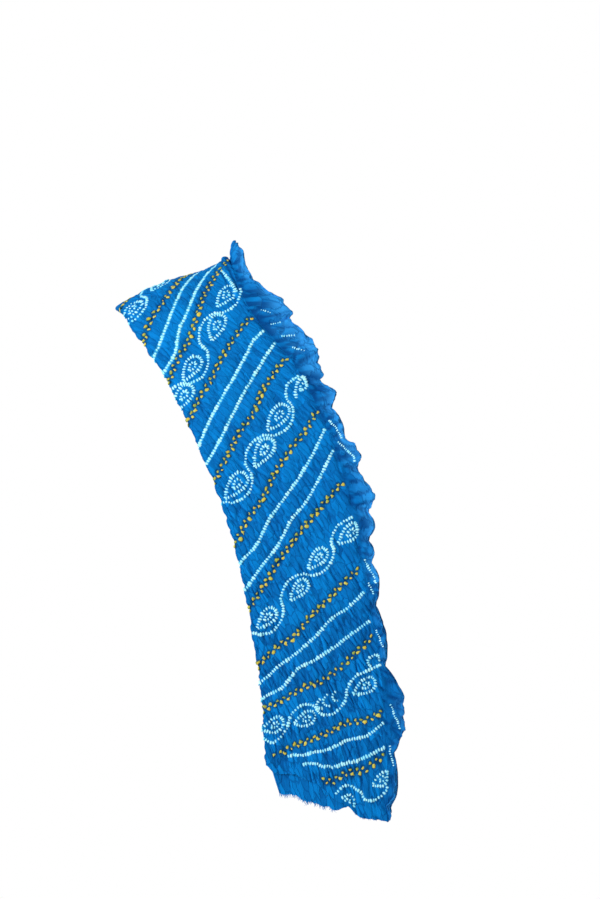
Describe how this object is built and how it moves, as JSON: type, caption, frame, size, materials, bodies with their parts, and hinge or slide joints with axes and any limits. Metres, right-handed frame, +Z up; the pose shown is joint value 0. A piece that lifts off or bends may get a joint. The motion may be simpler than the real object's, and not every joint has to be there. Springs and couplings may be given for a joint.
{
  "type": "dupatta stole",
  "caption": "Crinkled tie-dyed stole with a frilled edge, folded lengthwise and draped over one shoulder, falling in front and behind.",
  "frame": {"origin": "where the underside of the stole rests on the wearer's right shoulder ridge", "axes": "+Z up, -Y towards the wearer's front, +X towards the wearer's left"},
  "size_m": [0.3268, 0.2462, 0.6485],
  "materials": {
    "tied_cloth": "crinkled azure voile with tied white and yellow dots",
    "under_cloth": "crinkled azure voile",
    "frayed_threads": "loose azure threads"
  },
  "bodies": {
    "root": {"front_outer_layer": "tied_cloth", "front_under_layer": "under_cloth", "shoulder_outer_layer": "tied_cloth", "shoulder_under_layer": "under_cloth", "back_outer_layer": "tied_cloth", "back_under_layer": "under_cloth", "front_frayed_hem": "frayed_threads", "back_frayed_hem": "frayed_threads"}
  },
  "joints": []
}
